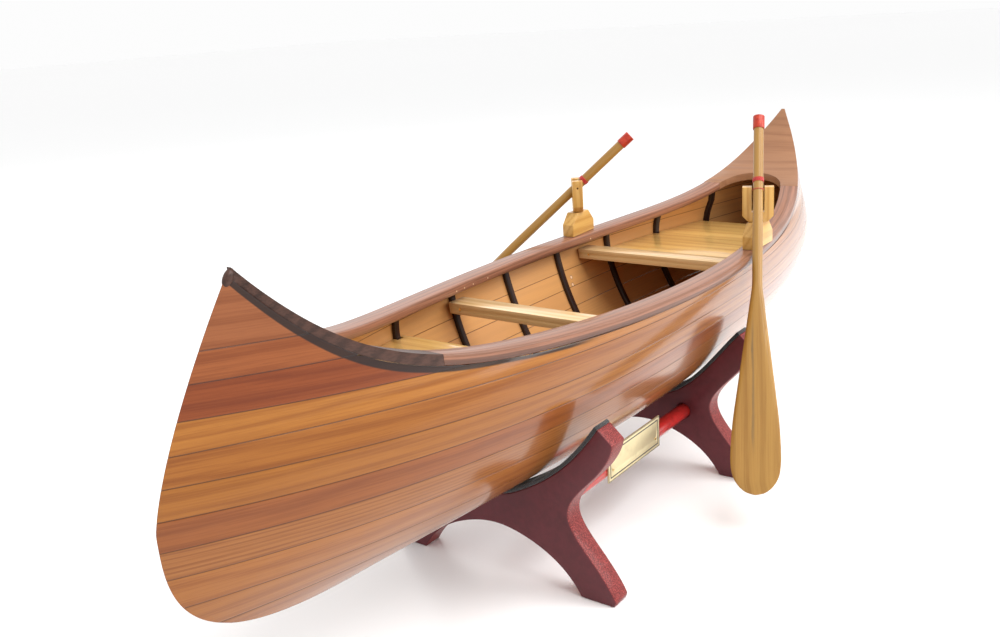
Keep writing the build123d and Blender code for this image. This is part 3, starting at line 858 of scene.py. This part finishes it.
class CANOE_OT_oars(PieceOperator, bpy.types.Operator):
    """Shape the oars, their painted grips and the thread lashings"""

    bl_idname = "canoe.oars"
    bl_label = "Oars"
    handle_end = -45.45

    def oar_axes(self, name, dip):
        """Pivot in mm, and the directions down the loom, across the blade, and through it."""
        joint = JOINTS[f"{name}_oar_pitch"]
        across = Vector(joint["axis"]).normalized()
        ahead = Vector((0, 0, 1)).cross(across)
        along = ahead * cos(dip) - Vector((0, 0, 1)) * sin(dip)
        return Vector(joint["pos_m"]) / MM, along, across, along.cross(across)

    def oar(self, name, pivot, along, across, through, finish):
        loom, blade = self.sizes.loom_radius / MM, self.sizes.blade_half_width / MM
        width = ((58, loom), (81, 5.7), (100, 8.1), (118, 10.3), (134, 12.2), (150, blade),
                 (158, 12.9), (164, 11.6), (169, 8.4), (172, 4.3), (172.95, 0.4))
        thick = ((50, loom), (84, 2.2), (120, 1.55), (165, 1.15), (172.95, 0.3))
        tip = [158, 160, 162, 164, 166, 168, 169.5, 171, 172, 172.6, 172.95]
        stops = even(self.handle_end, 56, 40) + even(59, 156, 50) + tip
        rings = []
        for s in stops:
            wide = self.profile(s, width)
            deep = between(s, thick)
            if s < self.handle_end + 0.5:
                wide = deep = loom - 0.4
            power = 1 if s < 58 else 0.86
            ring = []
            for k in range(32):
                a = tau * k / 32
                y = wide * abs(cos(a)) ** power * (1 if cos(a) > 0 else -1)
                z = deep * abs(sin(a)) ** power * (1 if sin(a) > 0 else -1)
                point = pivot + along * s + across * y + through * z
                ring.append((point, (s * MM, (y + z * 1.3) * MM), (0, 0)))
            rings.append(ring)
        bm = bmesh.new()
        wrap_rings(bm, rings)
        finish_mesh(bm, f"{name}_oar_carved", f"{name}_oar", finish, [f"{name}_oar"], 60)

    def profile(self, s, points):
        """Catmull-Rom value of the blade outline."""
        if s <= points[0][0]:
            return points[0][1]
        for k in range(len(points) - 1):
            (xa, a), (xb, b) = points[k], points[k + 1]
            if s <= xb:
                before = points[max(k - 1, 0)]
                after = points[min(k + 2, len(points) - 1)]
                ma = (b - before[1]) / (xb - before[0])
                mb = (after[1] - a) / (after[0] - xa)
                h, t = xb - xa, (s - xa) / (xb - xa)
                return ((2 * t**3 - 3 * t**2 + 1) * a + (t**3 - 2 * t**2 + t) * h * ma
                        + (-2 * t**3 + 3 * t**2) * b + (t**3 - t**2) * h * mb)
        return points[-1][1]

    def lashing(self, name, pivot, along, across, through, finish):
        """Thread wound round the loom: a close wrap and a single turn."""
        thread, loom = self.sizes.thread_radius / MM, self.sizes.loom_radius / MM
        bm = bmesh.new()
        for middle, turns in ((-6.0, 6), (0, 1)):
            rings = []
            count = turns * 28 + 1
            for k in range(count):
                a = tau * turns * k / (count - 1)
                s = middle + (k / (count - 1) - 0.5) * 2 * thread * turns
                out = across * cos(a) + through * sin(a)
                centre = pivot + along * s + out * (loom + thread)
                ring = []
                for j in range(8):
                    b = tau * j / 8
                    point = centre + out * (thread * cos(b)) + along * (thread * sin(b))
                    ring.append((point, (a * loom * MM, b * thread * MM), (0, 0)))
                rings.append(ring)
            wrap_rings(bm, rings)
        finish_mesh(bm, f"{name}_oar_thread", f"{name}_oar", finish,
                    [f"{name}_oar_lashing"], 60)

    def execute(self, context):
        finish = wood("oar_pine", (0.40, 0.215, 0.050), (0.29, 0.14, 0.028), source="grain",
                      ring=900, figure=0.8, streak=0.4, rough=0.33, coat=0.6, coat_rough=0.12,
                      bump=0.00003, detail=blade_streak)
        red, thread = gloss_red(), thread_finish()
        for name, dip in (("starboard", radians(41)), ("port", radians(57))):
            axes = self.oar_axes(name, dip)
            self.oar(name, *axes, finish)
            self.lashing(name, *axes, thread)
            dress_node(f"{name}_oar_grip", f"{name}_oar", red, 0.5, 3)
        return {"FINISHED"}


class CANOE_OT_stand(PieceOperator, bpy.types.Operator):
    """Finish the cradles, felts, rods and the blank nameplate"""

    bl_idname = "canoe.stand"
    bl_label = "Stand"

    def execute(self, context):
        tone = tuple(self.colours.stand)
        board = stain("cradle_stain", tone, tuple(c * 0.62 for c in tone), 0.42, 0.2, 0.6, 0.5,
                      sawn=True)
        rod = stain("rod_stain", (0.50, 0.022, 0.018), (0.21, 0.011, 0.010), 0.22, 0.9, 0.8, 0.3)
        felt = felt_finish()
        for name in ("front_cradle", "rear_cradle"):
            dress_node(name, "stand", board, 0.8, 3)
            dress_node(f"{name}_felt", "stand", felt, 0.4, 2)
        for name, _ in SIDES:
            dress_node(f"{name}_stretcher_rod", "stand", rod, 0.3, 2)
        dress_node("nameplate", "stand", plate_finish(*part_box("nameplate")), 0.12)
        pins = frame["nodes"]["nameplate_pins"].data
        pins.materials.clear()
        pins.materials.append(bpy.data.materials.get("pin_brass") or pin_finish())
        return {"FINISHED"}


class CANOE_OT_stage(PieceOperator, bpy.types.Operator):
    """Set up the floor, lights and camera"""

    bl_idname = "canoe.stage"
    bl_label = "Stage"

    def floor(self):
        """A wide, pale table."""
        bm = bmesh.new()
        bmesh.ops.create_grid(bm, x_segments=2, y_segments=2, size=12)
        mesh = bpy.data.meshes.new("floor")
        bm.to_mesh(mesh)
        bm.free()
        floor = bpy.data.objects.new("floor", mesh)
        bpy.context.scene.collection.objects.link(floor)
        paint = Paint("floor_white")
        drift = paint.noise(paint.place("Object"), 3.0, 2, 0.5)
        mesh.materials.append(paint.finish(Base_Color=(0.97, 0.97, 0.97), IOR=1.45,
                                           Roughness=drift * 0.05 + 0.3))

    def lamp(self, name, place, aim, size, power):
        data = bpy.data.lights.new(name, "AREA")
        data.shape, data.size, data.size_y, data.energy = "RECTANGLE", *size, power
        lamp = bpy.data.objects.new(name, data)
        bpy.context.scene.collection.objects.link(lamp)
        lamp.location = place
        lamp.rotation_euler = (Vector(aim) - Vector(place)).to_track_quat("-Z", "Y").to_euler()

    def execute(self, context):
        scene = context.scene
        self.floor()
        scene.view_settings.view_transform = "Standard"
        scene.world = bpy.data.worlds.new("pale_room")
        scene.world.use_nodes = True
        back = scene.world.node_tree.nodes["Background"]
        back.inputs[0].default_value = (1, 1, 1, 1)
        back.inputs[1].default_value = 0.98
        self.lamp("overhead_softbox", (0.1, -0.6, 1.2), (0, 0, 0.1), (1.2, 0.9), 15)
        self.lamp("side_softbox", (0.35, -0.72, 0.45), (0.08, 0, 0.12), (0.5, 0.4), 2.5)
        self.lamp("far_softbox", (0.9, 1.3, 1.1), (0, 0, 0.12), (1.0, 0.8), 3)
        data = bpy.data.cameras.new("camera")
        data.lens, data.sensor_width = 36.946, 36.0
        data.clip_start, data.clip_end = 0.01, 50
        camera = bpy.data.objects.new("camera", data)
        scene.collection.objects.link(camera)
        az, el, roll = radians(37.37), radians(-16.51), radians(-3.71)
        forward = Vector((cos(el) * cos(az), cos(el) * sin(az), sin(el)))
        right = forward.cross(Vector((0, 0, 1))).normalized()
        up = right.cross(forward)
        turned_right = right * cos(roll) + up * sin(roll)
        turned_up = up * cos(roll) - right * sin(roll)
        turn = Matrix((turned_right, turned_up, -forward)).transposed().to_4x4()
        camera.matrix_world = Matrix.Translation((-0.4841, -0.2918, 0.2740)) @ turn
        scene.camera = camera
        return {"FINISHED"}


class CANOE_PT_panel(bpy.types.Panel):
    """Canoe sizes, colours and steps"""

    bl_label = "Display Canoe"
    bl_idname = "CANOE_PT_panel"
    bl_space_type = "VIEW_3D"
    bl_region_type = "UI"
    bl_category = "Canoe"

    def draw(self, context):
        for group in (context.scene.canoe_sizes, context.scene.canoe_colours):
            for name in group.__annotations__:
                self.layout.prop(group, name)
        for step in STEPS:
            self.layout.operator(step.bl_idname)


STEPS = (CANOE_OT_planking, CANOE_OT_ribs, CANOE_OT_rails, CANOE_OT_fittings, CANOE_OT_oars,
         CANOE_OT_stand, CANOE_OT_stage)
CLASSES = (CANOE_PG_sizes, CANOE_PG_colours, *STEPS, CANOE_PT_panel)


def register():
    for cls in CLASSES:
        bpy.utils.register_class(cls)
    bpy.types.Scene.canoe_sizes = PointerProperty(type=CANOE_PG_sizes)
    bpy.types.Scene.canoe_colours = PointerProperty(type=CANOE_PG_colours)


def unregister():
    del bpy.types.Scene.canoe_sizes, bpy.types.Scene.canoe_colours
    for cls in reversed(CLASSES):
        bpy.utils.unregister_class(cls)


def main():
    register()
    for step in STEPS:
        group, name = step.bl_idname.split(".")
        getattr(getattr(bpy.ops, group), name)()


if __name__ == "__main__":
    main()
